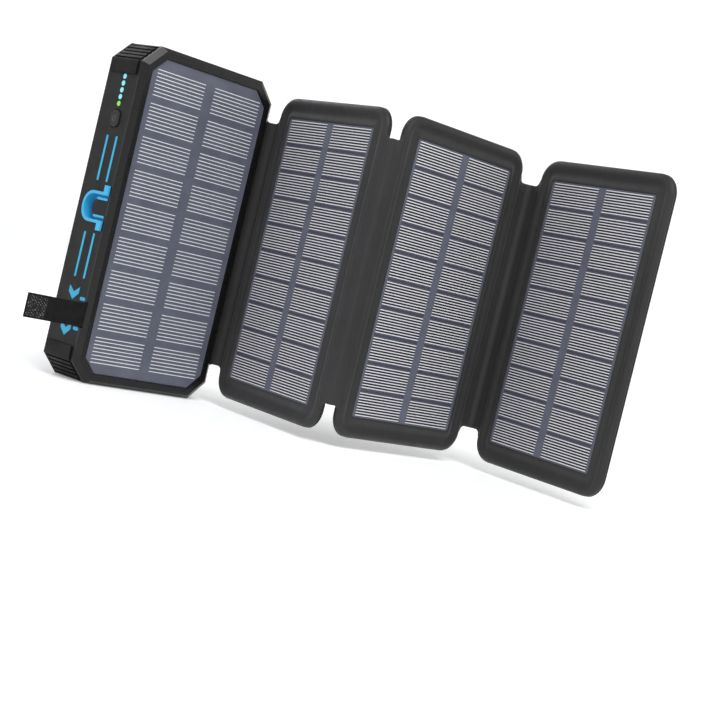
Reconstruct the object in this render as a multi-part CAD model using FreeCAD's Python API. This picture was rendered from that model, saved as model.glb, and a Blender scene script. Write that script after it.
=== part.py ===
"""Folding solar phone charger: a rugged power bank with four built-in cables and three hinged solar panels.

Frame: +Z up along the body's long side, which stands on its bottom end. X runs across the body, with the
indicator wall at -X and the panels hinged at +X. The solar face of the body looks along -Y and its back
along +Y. The origin is the centre of the flat bottom end. Millimetres.
"""

import FreeCAD, Part
import math
import os

Vec = FreeCAD.Vector

# ---- body ----
BODY_W = 81.2            # across the two side walls
BODY_L = 157.0           # bottom end to top end
BODY_T = 26.3            # bezel face to back face
CORNER_CUT = 9.0         # chamfered corners of the outline
WALL = 2.2
BACK_WALL = 2.0
BACK_BEVEL = 1.2
BEZEL_PROUD = 0.8        # bezel face in front of the laminate
SEAM = 2.2               # depth of the parting line between bezel and rear shell
BACK = BODY_T - BEZEL_PROUD   # depth of the back face; depths count from the laminate's face
MID = BODY_L / 2.0
HALF_W = BODY_W / 2.0
FACE_Y = -BODY_T / 2.0 + BEZEL_PROUD   # row Y of the laminate's face

# ---- solar laminate of the body ----
LAMINATE_HALF_W = 35.2
LAMINATE_HALF_L = 73.4
LAMINATE_CUT = 7.0
LAMINATE_T = 1.3

# ---- built-in cables, on the back ----
LANE_X = [18.2 - 11.7 * i for i in range(4)]      # centre lines of the four cable channels
LANE_HALF = 3.7                                    # channel with its two blue walls
RIB = 1.1                                          # width of a blue wall
POCKET_WALLS = [23.0, 12.8, 0.9, -9.4, -23.0]      # centre lines of the walls between the plug pockets
POCKET_START = MID - 28.0
POCKET_TIP = MID - 1.4
CHANNEL_DEPTH = 3.0
POCKET_DEPTH = 5.0
RIB_PROUD = 0.15
LEAD_W = 4.8
LEAD_T = 2.0
LEAD_HINGE_Z = 7.0
PLUG_GAP = 0.3
PLUG_T = 4.2
PLUG_START = POCKET_START + 0.9
PLUG_END = MID - 14.8
TIP_END = MID - 8.2
TIP_SIZES = [(6.7, 1.6), (8.3, 2.4), (6.9, 2.0)]   # width and thickness of the three metal tips

# ---- folding panels ----
PANEL_W = 86.0
PANEL_L = 148.0
PANEL_CORNER = 10.0
PANEL_RISE = 0.35        # panel centre above the body's centre
PANEL_PROUD = 0.5        # leather rim in front of the panel's laminate
PANEL_BACK = 3.2         # panel's back behind its laminate
FOLD_PITCH = 99.4        # from one fold line to the next along a panel
FOLD_OPEN = 81.0         # angle between neighbouring panels as set down, degrees
FOLD_LINE_X = 44.0       # where the first panel's plane would meet the body
FOLD_LINE_DEPTH = 2.5
HINGE_FRONT = 0.75       # hinges 1 and 3 in front of the laminates
HINGE_BACK = PANEL_BACK + 0.25   # hinge 2 behind the laminates: half the gap between folded panels
HINGE_1_DEPTH = -1.1
FLAP_HALF_L = 60.5
FLAP_T = 1.0

# ---- side strap ----
STRAP_W = 11.1
STRAP_T = 1.4
STRAP_Z = MID - 48.05
STRAP_DEPTH = 1.7
STRAP_LENGTHS = [9.0, 9.6, 12.0]
STRAP_START = 41.4       # distance of the strap's first bend from the body's centre plane
BEND_GAP = 0.3           # clearance on each side of a bend
STRAP_ROOT_IN = 5.0      # how far the strap reaches into the side wall
STRAP_SLOT_IN = 5.2


# ---- drawing helpers: depth counts backwards from the laminate's face ----
def y_at(depth):
    return FACE_Y + depth


def rounded_wire(points, radius, place):
    """A closed wire through flat points, each corner rounded; place turns a flat point into a vector."""
    radii = radius if isinstance(radius, (list, tuple)) else [radius] * len(points)
    corners = []
    for i, point in enumerate(points):
        here = Vec(point[0], point[1], 0)
        before = Vec(*points[i - 1], 0) - here
        after = Vec(*points[(i + 1) % len(points)], 0) - here
        before.normalize()
        after.normalize()
        half = before.getAngle(after) / 2.0
        if radii[i] <= 0:
            corners.append((here, None, here))
            continue
        run = radii[i] / math.tan(half)
        inward = before + after
        inward.normalize()
        top = here + inward * (radii[i] / math.sin(half) - radii[i])
        corners.append((here + before * run, top, here + after * run))
    edges = []
    for i, (first, top, last) in enumerate(corners):
        if top is not None:
            edges.append(Part.Arc(*[place(p.x, p.y) for p in (first, top, last)]).toShape())
        following = corners[(i + 1) % len(corners)][0]
        if (following - last).Length > 1e-6:
            edges.append(Part.LineSegment(place(last.x, last.y), place(following.x, following.y)).toShape())
    return Part.Wire(edges)


def slab(points, depth_0, depth_1, radius=0):
    """A flat outline in X and Z, as thick as the two depths say."""
    wire = rounded_wire(points, radius, lambda x, z: Vec(x, y_at(depth_0), z))
    return Part.Face(wire).extrude(Vec(0, depth_1 - depth_0, 0))


def side_slab(points, x_0, x_1, radius=0):
    """A flat outline in depth and Z, between two X positions."""
    wire = rounded_wire(points, radius, lambda depth, z: Vec(x_0, y_at(depth), z))
    return Part.Face(wire).extrude(Vec(x_1 - x_0, 0, 0))


def block(x, depth, z):
    """A box from three (low, high) pairs."""
    return Part.makeBox(x[1] - x[0], depth[1] - depth[0], z[1] - z[0], Vec(x[0], y_at(depth[0]), z[0]))


def rod(x, z, radius, depth_0, depth_1):
    """A round bar along Y."""
    return Part.makeCylinder(radius, depth_1 - depth_0, Vec(x, y_at(depth_0), z), Vec(0, 1, 0))


def octagon(half_w, half_l, cut, centre=MID):
    """The corners of a rectangle with cut-off corners."""
    w, h = half_w, half_l
    return [(w - cut, centre + h), (w, centre + h - cut), (w, centre - h + cut), (w - cut, centre - h),
            (cut - w, centre - h), (-w, centre - h + cut), (-w, centre + h - cut), (cut - w, centre + h)]


def rectangle(half_w, half_l, x=0.0, z=MID):
    return [(x - half_w, z - half_l), (x + half_w, z - half_l),
            (x + half_w, z + half_l), (x - half_w, z + half_l)]


def mirrored(points, side_x, side_z):
    """Points given from the body's centre for the +X, top corner, put at one of the four corners."""
    return [(side_x * x, MID + side_z * z) for x, z in points]


def taper(points_0, depth_0, points_1, depth_1):
    """A solid between two outlines of the same number of corners."""
    wires = [rounded_wire(p, 0, lambda x, z, d=d: Vec(x, y_at(d), z))
             for p, d in ((points_0, depth_0), (points_1, depth_1))]
    return Part.makeLoft(wires, True, True)


def outline_ring(points, radius, width, depth_0, depth_1):
    """A band of one width that follows a closed outline."""
    wire = rounded_wire(points, radius, lambda x, z: Vec(x, y_at(depth_0), z))
    outer = Part.Face(wire.makeOffset2D(width / 2.0)).extrude(Vec(0, depth_1 - depth_0, 0))
    inner = Part.Face(wire.makeOffset2D(-width / 2.0)).extrude(Vec(0, depth_1 - depth_0, 0))
    return outer.cut(inner)


def join(shapes):
    whole = shapes[0].multiFuse(shapes[1:]) if len(shapes) > 1 else shapes[0]
    return whole.removeSplitter()


def group(shapes):
    return Part.makeCompound(shapes)


CORNERS = [(1, 1), (-1, 1), (1, -1), (-1, -1)]


# ---- trim on the back and the side walls ----
CORNER_TRIM = [(24.2, 77.2), (31.2, 77.2), (39.3, 69.1), (39.3, 64.0), (36.9, 67.9), (30.2, 74.6)]
GRIP_TRIM = [(36.0, 44.2), (28.9, 33.7), (28.9, -33.7), (36.0, -44.2), (27.2, -34.4), (27.2, 34.4)]
GRIP_PAD = [(28.9, -33.7), (36.0, -44.2), (38.3, -47.6), (39.3, -47.6),
            (39.3, 47.6), (38.3, 47.6), (36.0, 44.2), (28.9, 33.7)]
CORNER_PAD = [(28.6, 46.4), (30.6, 45.2), (35.2, 50.6), (35.2, 61.2), (30.6, 65.4), (28.6, 64.0)]
TRIM_DEPTH = 1.4
TRIM_PROUD = 0.25
PAD_DEPTH = 0.8


def corner_trim(side_x, side_z):
    return slab(mirrored(CORNER_TRIM, side_x, side_z), BACK - TRIM_DEPTH, BACK + TRIM_PROUD)


def grip_trim(side_x):
    return slab(mirrored(GRIP_TRIM, side_x, 1), BACK - TRIM_DEPTH, BACK + TRIM_PROUD)


def grip_pad(side_x):
    return slab(mirrored(GRIP_PAD, side_x, 1), BACK - PAD_DEPTH, BACK + TRIM_PROUD)


def corner_pad(side_x, side_z):
    return slab(mirrored(CORNER_PAD, side_x, side_z), BACK - PAD_DEPTH, BACK + RIB_PROUD, 0.8)


LABEL_CENTRE = 0.8
LIGHT_CENTRE = 1.2
LABEL_OUTLINE = [(21.4, 8.4), (0, 2.2), (-21.4, 8.4), (-21.4, 52.4), (0, 48.2), (21.4, 52.4)]
LIGHT_OUTLINE = [(23.2, 57.0), (0, 53.0), (-23.2, 57.0), (-23.2, 67.2), (23.2, 67.2)]


def shifted(points, x):
    return [(px + x, MID + pz) for px, pz in points]


def label_trim():
    return outline_ring(shifted(LABEL_OUTLINE, LABEL_CENTRE), 2.2, RIB, BACK - PAD_DEPTH, BACK + RIB_PROUD)


def light_lens():
    return slab(shifted(LIGHT_OUTLINE, LIGHT_CENTRE), BACK - 2.6, BACK + 0.1, 3.0)


def light_trim():
    outline = shifted(LIGHT_OUTLINE, LIGHT_CENTRE)
    wire = rounded_wire(outline, 3.0, lambda x, z: Vec(x, y_at(BACK - 1.6), z))
    outer = Part.Face(wire.makeOffset2D(1.2)).extrude(Vec(0, 1.6 + RIB_PROUD, 0))
    return outer.cut(light_lens()).cut(light_lens().translated(Vec(0, 1, 0)))


# ---- indicator wall ----
INLAY_IN = 0.5
INLAY_OUT = 0.12
WALL_X = -HALF_W
ANCHOR_Z = MID + 1.0
STRIPE_DEPTHS = (14.0, 7.1)
STRIPE_SPAN = (11.9, 33.1)      # from the lanyard anchor's centre line
STRIPE_W = 1.3
CHEVRON_TIPS = [-42.5 - 8.4 * i for i in range(3)]
CHEVRON_DEPTH = 12.0
CHEVRON_HALF = 3.8
SLOT_MARK_DEPTHS = (2.6, 6.4)
SLOT_MARK_SPAN = (0.55, 2.15)   # from the strap's edges
INDICATOR_Z = [48.9 + 3.15 * i for i in range(5)]
INDICATOR_R = 1.2
INDICATOR_DEPTH = 11.4
BUTTON_Z = MID + 42.0
BUTTON_DEPTH = 11.4
BUTTON_HALF = (3.3, 3.8)
BUTTON_ROUND = 2.3
BUTTON_GAP = 0.4
BUTTON_PROUD = 0.7
FLANGE_GROW = 1.2        # the flange is this much larger than the cap all round
FLANGE_T = 0.65


def inlay(points, radius=0):
    return side_slab(points, WALL_X - INLAY_OUT, WALL_X + INLAY_IN, radius)


def side_inlays():
    """Two pairs of stripes, three arrowheads and a bar above and below the strap slot."""
    pieces = []
    for side_z in (1, -1):
        low, high = sorted(ANCHOR_Z + side_z * z for z in STRIPE_SPAN)
        for depth in STRIPE_DEPTHS:
            half = STRIPE_W / 2.0
            pieces.append(inlay([(depth - half, low), (depth + half, low),
                                 (depth + half, high), (depth - half, high)], 0.9 * half))
    for tip in CHEVRON_TIPS:
        z, c, w = MID + tip, CHEVRON_DEPTH, CHEVRON_HALF
        pieces.append(inlay([(c, z), (c + w, z + 3.2), (c + w, z + 6.2), (c, z + 3.6),
                             (c - w, z + 6.2), (c - w, z + 3.2)]))
    low, high = SLOT_MARK_DEPTHS
    for side_z in (1, -1):
        near, far = sorted(STRAP_Z + side_z * (STRAP_W / 2.0 + z) for z in SLOT_MARK_SPAN)
        pieces.append(inlay([(low, near), (high, near), (high, far), (low, far)], 0.6))
    return pieces


def indicator_lenses():
    """Five round light pipes."""
    return [Part.makeCylinder(INDICATOR_R, INLAY_OUT + WALL + 0.6,
                              Vec(WALL_X - INLAY_OUT, y_at(INDICATOR_DEPTH), MID + z), Vec(1, 0, 0))
            for z in INDICATOR_Z]


def button_outline(grow):
    half_d, half_z = BUTTON_HALF[0] + grow, BUTTON_HALF[1] + grow
    return [(BUTTON_DEPTH - half_d, BUTTON_Z - half_z), (BUTTON_DEPTH + half_d, BUTTON_Z - half_z),
            (BUTTON_DEPTH + half_d, BUTTON_Z + half_z), (BUTTON_DEPTH - half_d, BUTTON_Z + half_z)]


def power_button():
    """The cap and, inside the wall, the flange that keeps it in."""
    inner = WALL_X + WALL + 0.15
    cap = side_slab(button_outline(0), WALL_X - BUTTON_PROUD, inner + FLANGE_T, BUTTON_ROUND)
    cap = cap.makeChamfer(0.35, [e for e in cap.Edges if e.BoundBox.XMax < WALL_X - BUTTON_PROUD + 0.1])
    flange = side_slab(button_outline(FLANGE_GROW), inner, inner + FLANGE_T, BUTTON_ROUND)
    return join([cap, flange])


ANCHOR_DEPTHS = (3.0, 19.8)
ANCHOR_HALF = 7.2
ANCHOR_BAND = 1.4         # width of the outer band
ANCHOR_FOOT = 3.2         # how far a foot reaches past the band
ANCHOR_FOOT_W = 3.2
ANCHOR_PROUD = 1.0
ANCHOR_IN = 7.4
ANCHOR_FLOOR = 3.6        # thickness of the cup's floor
ARCH_ROUND = 0.94         # corner radius of an arch, as a share of its half width
TONGUE_HALF = 4.5
TONGUE_TOP = 13.4         # depth of the tongue's round end
BAR_T = 1.0               # the two thin bars let into the tongue's edges
BAR_END = 10.6            # depth where they end
BAR_PROUD = 0.5


def arch(half_w, depth_0, depth_1, x_0, x_1):
    """An arch standing on depth_0, round at depth_1, in the plane of the side wall."""
    outline = [(depth_0, ANCHOR_Z - half_w), (depth_1, ANCHOR_Z - half_w),
               (depth_1, ANCHOR_Z + half_w), (depth_0, ANCHOR_Z + half_w)]
    return side_slab(outline, x_0, x_1, [0, half_w * ARCH_ROUND, half_w * ARCH_ROUND, 0])


def tongue_bars(x_0, x_1):
    """The room of the two bars, at the tongue's upper and lower edge."""
    bars = []
    for side_z in (1, -1):
        near, far = sorted(ANCHOR_Z + side_z * z for z in (TONGUE_HALF - BAR_T, TONGUE_HALF))
        bars.append(block((x_0, x_1), (ANCHOR_DEPTHS[0], BAR_END), (near, far)))
    return join(bars)


def anchor_tongue():
    """The dark post inside the anchor that a cord is looped round."""
    low, floor = ANCHOR_DEPTHS[0], WALL_X + ANCHOR_IN - ANCHOR_FLOOR
    return arch(TONGUE_HALF, low, TONGUE_TOP, WALL_X, floor).cut(tongue_bars(WALL_X - 1, floor + 1))


def lanyard_anchor():
    """A blue cup let into the wall: an arched band on two feet, and two thin bars beside the tongue."""
    low, high = ANCHOR_DEPTHS
    outside, inside = WALL_X - ANCHOR_PROUD, WALL_X + ANCHOR_IN
    reach = ANCHOR_HALF + ANCHOR_FOOT
    cup = arch(ANCHOR_HALF, low, high, outside, inside)
    feet = block((outside, WALL_X), (low, low + ANCHOR_FOOT_W), (ANCHOR_Z - reach, ANCHOR_Z + reach))
    slot = arch(ANCHOR_HALF - ANCHOR_BAND, low - 1, high - ANCHOR_BAND,
                outside - 0.1, inside - ANCHOR_FLOOR)
    bars = tongue_bars(WALL_X - BAR_PROUD, inside - 0.1)
    return join([join([cup, feet]).cut(slot), bars])


# ---- corner bumpers ----
BUMPER_PROUD = 1.0
BUMPER_DEPTHS = (3.4, 22.8)
BUMPER_REACH = (27.5, 63.0)      # where a bumper starts along the end and along the side
GROOVE_W = 0.9
GROOVE_DEEP = 0.9
GROOVE_PITCH = 2.5
BUMPER_ROUND = 5.0       # radius between the grooved flat and the walls


def bumper(side_x, side_z):
    """A rubber cap on one cut-off corner, grooved across."""
    low, high = BUMPER_DEPTHS
    w = HALF_W + BUMPER_PROUD
    cut = CORNER_CUT + BUMPER_PROUD * 0.2
    inset = WALL - 0.9
    outer = [(BUMPER_REACH[0], MID), (w - cut, MID), (w, MID - cut), (w, BUMPER_REACH[1])]
    inner = [(HALF_W - inset, BUMPER_REACH[1]), (HALF_W - inset, MID - CORNER_CUT - inset * 0.2),
             (HALF_W - CORNER_CUT - inset * 0.2, MID - inset), (BUMPER_REACH[0], MID - inset)]
    radii = [0, BUMPER_ROUND, BUMPER_ROUND, 0, 0, 0, 0, 0]
    body = slab(mirrored(outer + inner, side_x, side_z), low, high, radii)
    middle = Vec(w - cut / 2.0, MID - cut / 2.0, 0)
    along = Vec(1, -1, 0).normalize()
    outward = Vec(1, 1, 0).normalize()
    tools = []
    for step in (-2, -1, 0, 1, 2):
        centre = middle + along * (GROOVE_PITCH * step)
        section = ((-GROOVE_W / 2, -GROOVE_DEEP), (GROOVE_W / 2, -GROOVE_DEEP),
                   (GROOVE_W / 2, 2), (-GROOVE_W / 2, 2))
        outline = [centre + along * a + outward * b for a, b in section]
        tools.append(slab(mirrored([(p.x, p.y) for p in outline], side_x, side_z), low - 1, high + 1))
    return body.cut(join(tools))


# ---- cable tray ----
def pocket(index, grow, depth_0, depth_1, tip_grow=None):
    """The room of one plug, square at its start and round at its far end."""
    right, left = POCKET_WALLS[index], POCKET_WALLS[index + 1]
    x, half = (right + left) / 2.0, (right - left) / 2.0
    tip = POCKET_TIP + (grow if tip_grow is None else tip_grow)
    r = half + grow
    straight = block((x - r, x + r), (depth_0, depth_1), (POCKET_START - grow, tip - r))
    return straight.fuse(rod(x, tip - r, r, depth_0, depth_1))


def lane(x, half, depth, z):
    return block((x - half, x + half), depth, z)


TRAY_END = 0.1           # the tray's end stands this far above the bottom
TRAY_FRONT = 15.2        # depth where the tray's end blocks start
END_GROOVE = 2.9         # height of the cable's groove in the bottom end
EDGE_BEVEL = 1.7


def tray_envelope(depth_top):
    """Everything the tray fills in the rear shell."""
    pieces = []
    for x in LANE_X:
        pieces.append(lane(x, LANE_HALF, (BACK - CHANNEL_DEPTH - 1.2, depth_top), (0, POCKET_START + 1)))
        pieces.append(lane(x, LANE_HALF, (TRAY_FRONT, depth_top), (0, 6.0)))
    for index in range(4):
        pieces.append(pocket(index, RIB / 2.0, BACK - POCKET_DEPTH - 1.2, depth_top))
    return join(pieces)


def cable_tray():
    """The blue liner: channel walls, plug pockets and finger scoops in one moulding."""
    tray = tray_envelope(BACK + RIB_PROUD)
    half = LANE_HALF - RIB
    tools = [block((-50, 50), (0, BODY_T), (-1, TRAY_END))]
    for x in LANE_X:
        tools.append(lane(x, half, (BACK - CHANNEL_DEPTH, BODY_T), (-1, POCKET_START + 1)))
        tools.append(lane(x, half, (TRAY_FRONT + 1.0, BODY_T), (-1, END_GROOVE)))
    for index in range(4):
        tools.append(pocket(index, -RIB / 2.0, BACK - POCKET_DEPTH, BODY_T))
    edge = BACK + RIB_PROUD
    tools.append(side_slab([(edge - EDGE_BEVEL, -0.5), (edge + 1, -0.5), (edge + 1, EDGE_BEVEL + 0.1),
                            (edge, EDGE_BEVEL + 0.1), (edge - EDGE_BEVEL, 0.1)], -50, 50))
    return tray.cut(join(tools))


# ---- screws and their posts ----
SCREW_X = 32.0
SCREW_Z = 55.5
SCREW_R = 1.1
POST_END = 16.0
SCREW_SEAT = 22.0


def at_screws(make):
    return [make(side_x * SCREW_X, MID + side_z * SCREW_Z) for side_x, side_z in CORNERS]


def case_screw(x, z):
    shank = rod(x, z, SCREW_R, 6.5, SCREW_SEAT + 0.1)
    head = rod(x, z, 2.4, SCREW_SEAT, SCREW_SEAT + 1.7)
    cross = block((x - 1.4, x + 1.4), (SCREW_SEAT + 0.9, SCREW_SEAT + 2), (z - 0.3, z + 0.3))
    cross = cross.fuse(block((x - 0.3, x + 0.3), (SCREW_SEAT + 0.9, SCREW_SEAT + 2), (z - 1.4, z + 1.4)))
    return join([shank, head]).cut(cross)


# ---- top end: sockets and their rubber cover ----
COVER_X = (-3.4, 26.4)
COVER_DEPTHS = (6.7, 16.4)
COVER_T = 1.7
COVER_HINGE = (17.4, BODY_L - 0.4)     # depth and Z of the cover's bend
RECESS_GAP = 0.2
USB_A = (6.2, 13.2, 5.7, 14.0)        # centre X, width, height, length of the socket shell
USB_C = (20.0, 9.0, 3.3, 7.5)
SOCKET_DEPTH = 11.4


def socket(centre, width, height, length, tongue):
    """A metal socket shell open upwards, with its contact tongue."""
    top = BODY_L - COVER_T - RECESS_GAP
    low = top - length
    shell = block((centre - width / 2, centre + width / 2),
                  (SOCKET_DEPTH - height / 2, SOCKET_DEPTH + height / 2), (low, top))
    hollow = block((centre - width / 2 + 0.4, centre + width / 2 - 0.4),
                   (SOCKET_DEPTH - height / 2 + 0.4, SOCKET_DEPTH + height / 2 - 0.4), (low + 1.5, top + 1))
    blade = block((centre - width / 2 + 1.2, centre + width / 2 - 1.2),
                  (SOCKET_DEPTH - tongue / 2, SOCKET_DEPTH + tongue / 2), (low + 1.0, top - 1.2))
    return join([shell.cut(hollow), blade])


def port_cover():
    """A rubber lid with two plugs underneath and a thin tether at its back edge."""
    lid = block(COVER_X, COVER_DEPTHS, (BODY_L - COVER_T, BODY_L))
    tether = block((COVER_X[0] + 9, COVER_X[1] - 9), (COVER_DEPTHS[1] - 0.5, COVER_HINGE[0] - 0.25),
                   (COVER_HINGE[1] - 0.3, COVER_HINGE[1] + 0.3))
    pull = block((COVER_X[0] + 11, COVER_X[1] - 11), (COVER_DEPTHS[0] - 0.8, COVER_DEPTHS[0] + 0.5),
                 (BODY_L - 0.7, BODY_L))
    return join([lid, tether, pull])


# ---- housing ----
def back_insets():
    """All that is let into the back face."""
    pieces = [corner_trim(*c) for c in CORNERS] + [corner_pad(*c) for c in CORNERS]
    pieces += [grip_trim(s) for s in (1, -1)] + [grip_pad(s) for s in (1, -1)]
    return pieces + [label_trim(), light_trim(), light_lens()]


def strap_slot():
    half = STRAP_W / 2.0 + 0.4
    return block((-HALF_W - 1, -HALF_W + STRAP_SLOT_IN), (STRAP_DEPTH - 0.9, STRAP_DEPTH + 0.9),
                 (STRAP_Z - half, STRAP_Z + half))


def rear_shell():
    outline = octagon(HALF_W, MID, CORNER_CUT)
    face = octagon(HALF_W - BACK_BEVEL, MID - BACK_BEVEL, CORNER_CUT - 0.5 * BACK_BEVEL)
    shell = join([slab(outline, SEAM, BACK - BACK_BEVEL), taper(outline, BACK - BACK_BEVEL, face, BACK)])
    inside = octagon(HALF_W - WALL, MID - WALL, CORNER_CUT - 0.9)
    shell = shell.cut(slab(inside, SEAM - 1, BACK - BACK_WALL))
    sleeves = at_screws(lambda x, z: rod(x, z, 3.3, POST_END + 0.2, BACK - BACK_WALL + 0.1))
    well = shifted([(25.2, 51.0), (-25.2, 51.0), (-25.2, 69.2), (25.2, 69.2)], LIGHT_CENTRE)
    light_well = slab(well, BACK - 5.0, BACK - BACK_WALL + 0.1, 3.0)
    shell = join([shell, light_well] + sleeves)
    tools = back_insets() + side_inlays() + indicator_lenses()
    tools += [bumper(*c).fuse(bumper_core(*c)) for c in CORNERS]
    tools += at_screws(lambda x, z: rod(x, z, SCREW_R + 0.3, POST_END, BACK))
    tools += at_screws(lambda x, z: rod(x, z, 2.7, SCREW_SEAT, BACK))
    tools.append(tray_envelope(BODY_T))
    opening = [(22.2, 57.8), (0, 54.2), (-22.2, 57.8), (-22.2, 66.2), (22.2, 66.2)]
    tools.append(slab(shifted(opening, LIGHT_CENTRE), BACK - 6.0, BACK, 0.6))
    tools.append(arch(ANCHOR_HALF, *ANCHOR_DEPTHS, WALL_X - 1, WALL_X + ANCHOR_IN))
    hole = button_outline(BUTTON_GAP)
    tools.append(side_slab(hole, WALL_X - 1, WALL_X + WALL + 1, BUTTON_ROUND + BUTTON_GAP))
    tools.append(strap_slot())
    tools.append(block((COVER_X[0] - RECESS_GAP, COVER_X[1] + RECESS_GAP),
                       (COVER_DEPTHS[0] - 0.9, COVER_HINGE[0] + 1.1),
                       (BODY_L - COVER_T - RECESS_GAP, BODY_L + 1)))
    for centre, width, height, _ in (USB_A, USB_C):
        tools.append(block((centre - width / 2 - 0.2, centre + width / 2 + 0.2),
                           (SOCKET_DEPTH - height / 2 - 0.2, SOCKET_DEPTH + height / 2 + 0.2),
                           (BODY_L - 10, BODY_L + 1)))
    return shell.cut(join(tools))


def bumper_core(side_x, side_z):
    """The room a bumper needs, without its grooves."""
    low, high = BUMPER_DEPTHS
    inset = WALL - 0.9
    outer = [(BUMPER_REACH[0], MID + 1), (HALF_W + 2, MID + 1), (HALF_W + 2, BUMPER_REACH[1])]
    inner = [(HALF_W - inset, BUMPER_REACH[1]), (HALF_W - inset, MID - CORNER_CUT - inset * 0.2),
             (HALF_W - CORNER_CUT - inset * 0.2, MID - inset), (BUMPER_REACH[0], MID - inset)]
    return slab(mirrored(outer + inner, side_x, side_z), low, high)


def front_bezel():
    """The frame round the solar face, with a bevelled edge, a lip inside the shell and four screw posts."""
    outline = octagon(HALF_W, MID, CORNER_CUT)
    face = octagon(HALF_W - 2.6, MID - 1.6, CORNER_CUT - 0.6)
    bezel = join([taper(face, -BEZEL_PROUD, outline, 1.4), slab(outline, 1.4, SEAM)])
    lip = slab(octagon(HALF_W - WALL - 0.15, MID - WALL - 0.15, CORNER_CUT - 1.0), SEAM - 0.5, SEAM + 1.6)
    bezel = join([bezel, lip])
    window = octagon(31.0, 69.0, 6.0)
    bezel = bezel.cut(slab(window, -2, 5))
    seat = octagon(LAMINATE_HALF_W + 0.2, LAMINATE_HALF_L + 0.2, LAMINATE_CUT)
    bezel = bezel.cut(slab(seat, -2, LAMINATE_T))
    bezel = join([bezel] + at_screws(lambda x, z: rod(x, z, 2.9, LAMINATE_T + 0.3, POST_END)))
    bezel = bezel.cut(join(at_screws(lambda x, z: rod(x, z, SCREW_R + 0.05, 6.0, POST_END + 1))))
    return bezel.cut(join([strap_slot(), arch(ANCHOR_HALF + 0.2, ANCHOR_DEPTHS[0] - 0.2, ANCHOR_DEPTHS[1],
                                              WALL_X - 1, WALL_X + ANCHOR_IN + 0.2)]))


def hinge_strip():
    """The leather root of the first fold, glued to the side wall."""
    half = FLAP_HALF_L
    return block((HALF_W, HALF_W + 0.8), (1.5, 11.0), (MID + PANEL_RISE - half, MID + PANEL_RISE + half))


# ---- built-in cables ----
def lead_root(x):
    """The fixed length of a flat cable, from inside the bottom end round the edge."""
    top = BACK - 0.6
    end = LEAD_HINGE_Z - 1.4
    outline = [(TRAY_FRONT + 1.2, 0.5), (top, 0.5), (top, end), (top - LEAD_T, end),
               (top - LEAD_T, 0.5 + LEAD_T), (TRAY_FRONT + 1.2, 0.5 + LEAD_T)]
    return side_slab(outline, x - LEAD_W / 2.0, x + LEAD_W / 2.0, [0, 2.6, 0, 0, 0.6, 0])


def lead(x):
    """The flat cable in its channel, from its bend at the bottom edge to the plug."""
    top = BACK - 0.6
    return block((x - LEAD_W / 2.0, x + LEAD_W / 2.0), (top - LEAD_T, top),
                 (LEAD_HINGE_Z + 0.25, PLUG_START))


def plug_housing(index):
    right, left = POCKET_WALLS[index] - RIB / 2.0, POCKET_WALLS[index + 1] + RIB / 2.0
    top = BACK - 0.3
    end = PLUG_END - (4.2 if index == 3 else 0)
    body = block((left + PLUG_GAP, right - PLUG_GAP), (top - PLUG_T, top), (PLUG_START, end))
    body = body.makeFillet(0.7, [e for e in body.Edges if e.BoundBox.ZLength > 1])
    if index < 3:
        return body
    tongue = block((left + 1.2, right - 1.2), (top - 3.2, top - 1.0), (end - 0.5, TIP_END - 1.0))
    return join([body, tongue])


def plug_tip(index):
    """A metal tip, or the four gold contacts of the widest plug."""
    x = (POCKET_WALLS[index] + POCKET_WALLS[index + 1]) / 2.0
    middle = BACK - 0.3 - PLUG_T / 2.0
    if index < 3:
        width, thick = TIP_SIZES[index]
        tip = block((x - width / 2, x + width / 2), (middle - thick / 2, middle + thick / 2),
                    (PLUG_END, TIP_END))
        return tip.makeFillet(0.3 * thick, [e for e in tip.Edges if e.BoundBox.ZLength > 1])
    face = BACK - 0.3 - 1.0
    start = PLUG_END - 4.0
    spans = [(3.55, 8.3), (1.25, 6.6), (-1.25, 6.6), (-3.55, 8.3)]
    return group([block((x + dx - 0.6, x + dx + 0.6), (face, face + 0.15), (start, start + run))
                  for dx, run in spans])


# ---- folding panels: X along the panel from its first fold line, front towards -Y ----
def panel_place(shape, number):
    """Turns and moves a shape from a panel's own frame to where the panel stands."""
    turn = 180.0 - FOLD_OPEN
    step = Vec(math.cos(math.radians(turn)), -math.sin(math.radians(turn)), 0) * FOLD_PITCH
    start = Vec(FOLD_LINE_X, y_at(FOLD_LINE_DEPTH), 0)
    if number > 1:
        start = start + step
    if number > 2:
        start = start + Vec(FOLD_PITCH, 0, 0)
    placed = shape.copy()
    placed.rotate(Vec(0, 0, 0), Vec(0, 0, 1), 0 if number == 2 else -turn)
    placed.translate(start)
    return placed


def sheet(half_w, half_l, y_0, y_1, radius):
    """A rounded rectangle centred on the panel."""
    points = rectangle(half_w, half_l, FOLD_PITCH / 2.0, MID + PANEL_RISE)
    wire = rounded_wire(points, radius, lambda x, z: Vec(x, y_0, z))
    return Part.Face(wire).extrude(Vec(0, y_1 - y_0, 0))


def fold_foot(offset):
    """How far along a panel, from its fold line, the hinge stands that is this far off its plane."""
    return offset / math.tan(math.radians(FOLD_OPEN / 2.0))


def hinge_1_foot():
    lean = math.radians(90.0 - FOLD_OPEN)
    return (FOLD_LINE_DEPTH - HINGE_1_DEPTH + HINGE_FRONT * math.sin(lean)) / math.cos(lean)


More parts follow.
